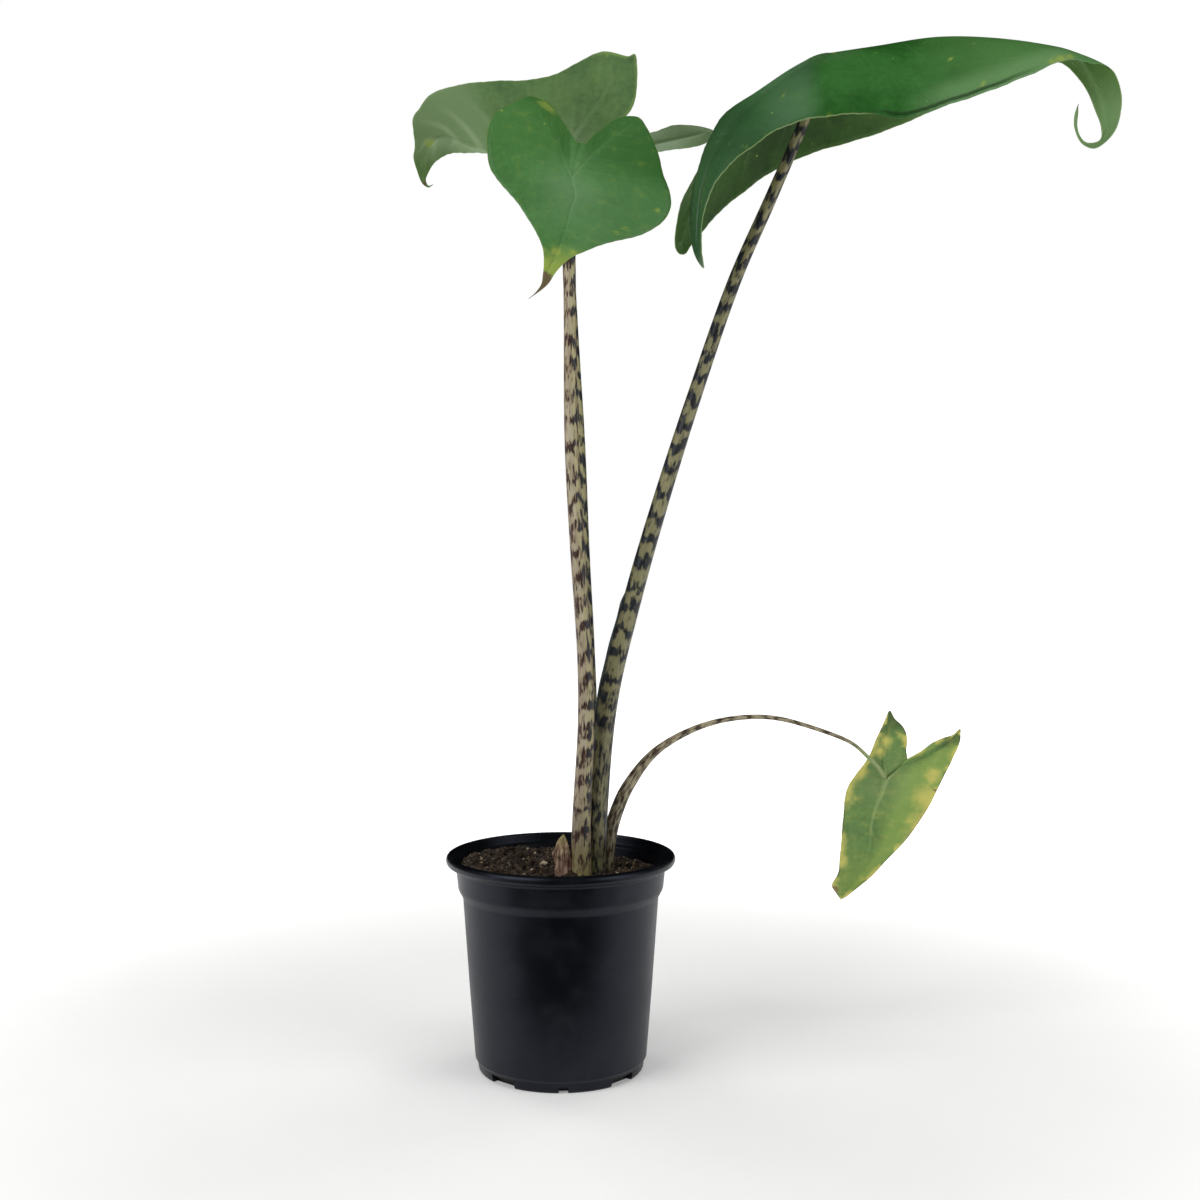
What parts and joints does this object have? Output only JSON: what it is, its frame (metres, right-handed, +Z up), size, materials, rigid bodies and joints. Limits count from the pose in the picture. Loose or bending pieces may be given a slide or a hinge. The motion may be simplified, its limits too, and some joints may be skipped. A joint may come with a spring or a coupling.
{
  "type": "potted zebrina alocasia",
  "caption": "Young aroid house plant with arrow-shaped leaves on tall banded stalks, rooted in dark soil in a thin black nursery pot.",
  "frame": {"origin": "on the pot's axis, at the level of the surface that the pot stands on", "axes": "+Z up along the pot's axis, +X towards the tip of the largest leaf, -Y towards the front leaf"},
  "size_m": [0.4689, 0.1927, 0.6861],
  "materials": {
    "pot_plastic": "satin",
    "peat_soil": "matte",
    "corm_skin": "matte",
    "stalk_pinkish": "satin",
    "stalk_green": "satin",
    "stalk_olive": "satin",
    "stalk_mottled": "satin",
    "blade_green": "satin",
    "blade_olive": "satin",
    "blade_dark": "gloss",
    "blade_yellowing": "satin",
    "dried_skin": "matte"
  },
  "bodies": {
    "root": {"pot": "pot_plastic", "soil": "peat_soil", "corm": "corm_skin", "stalk_front": "stalk_pinkish", "stalk_rear": "stalk_green", "stalk_large": "stalk_olive", "stalk_hanging": "stalk_mottled", "leaf_front": "blade_green", "leaf_rear": "blade_olive", "leaf_large": "blade_dark", "leaf_hanging": "blade_yellowing", "dried_sheath": "dried_skin"}
  },
  "joints": []
}
